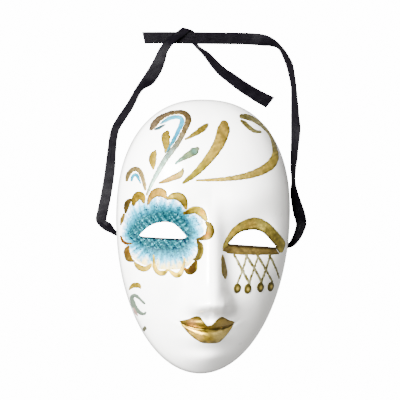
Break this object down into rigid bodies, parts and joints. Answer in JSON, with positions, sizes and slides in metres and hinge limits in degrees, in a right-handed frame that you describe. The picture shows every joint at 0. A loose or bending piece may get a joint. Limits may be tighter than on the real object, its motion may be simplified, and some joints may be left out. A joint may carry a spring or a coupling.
{
  "type": "venetian masquerade mask",
  "caption": "Full-face white papier-mache carnival mask with cut eye openings, a glitter and gold petal eye surround, gold scrolls, lids and lips, and satin tie ribbons.",
  "frame": {"origin": "on the table, under the middle of the mask's rim outline, with the mask lying on its rim", "axes": "+Z out of the face, +Y towards the forehead, +X towards the viewer's right, which is the wearer's left"},
  "size_m": [0.1856, 0.3023, 0.0864],
  "materials": {
    "papier_mache": "smooth white gesso under a gloss varnish; raw grey-white paper inside",
    "satin_ribbon": "black polyester satin with a soft sheen along its length",
    "pasted_paper": "torn kraft paper strip, matt",
    "teal_glitter": "glitter paste with fine teal and blue flakes",
    "pale_blue_paint": "thin pale blue wash with turquoise flecks",
    "light_blue_paint": "light blue acrylic, brushed",
    "gold_paint": "antique gold acrylic with a metallic glaze, brushed",
    "pale_gold_paint": "thin pale gold glaze over white",
    "dark_gold_paint": "brownish gold acrylic, brushed",
    "lip_gold_paint": "metallic gold acrylic, polished",
    "grey_green_paint": "grey-green acrylic, brushed",
    "rose_paint": "thin rose-gold glaze"
  },
  "bodies": {
    "root": {"mask_shell": "papier_mache", "ribbon_left": "satin_ribbon", "ribbon_right": "satin_ribbon", "ribbon_patch_left": "pasted_paper", "ribbon_patch_right": "pasted_paper", "eye_glitter_band": "teal_glitter", "petal_wash": "pale_blue_paint", "petal_1": "gold_paint", "petal_2": "gold_paint", "petal_3": "gold_paint", "petal_4": "gold_paint", "petal_5": "gold_paint", "petal_6": "gold_paint", "petal_7": "gold_paint", "petal_8": "dark_gold_paint", "petal_9": "pale_gold_paint", "petal_10": "pale_gold_paint", "petal_11": "pale_gold_paint", "petal_12": "gold_paint", "petal_13": "gold_paint", "petal_14": "gold_paint", "eyelid_upper": "gold_paint", "eyelid_lower": "dark_gold_paint", "tear_drop": "gold_paint", "fringe_strings": "gold_paint", "fringe_bead_1": "gold_paint", "fringe_bead_2": "gold_paint", "fringe_bead_3": "gold_paint", "fringe_bead_4": "gold_paint", "lip_upper": "lip_gold_paint", "lip_lower": "lip_gold_paint", "swirl_large": "gold_paint", "swirl_large_hook": "gold_paint", "swirl_large_blue": "light_blue_paint", "swirl_small": "gold_paint", "swirl_small_blue": "light_blue_paint", "teardrop_large": "gold_paint", "teardrop_small": "gold_paint", "leaf_top": "gold_paint", "leaf_middle": "gold_paint", "leaf_bottom": "gold_paint", "comma_stroke": "gold_paint", "sweep_stroke": "gold_paint", "sweep_hook": "gold_paint", "cheek_crescent": "gold_paint", "cheek_scroll": "grey_green_paint", "cheek_leaf": "rose_paint", "cheek_dot": "gold_paint"}
  },
  "joints": []
}
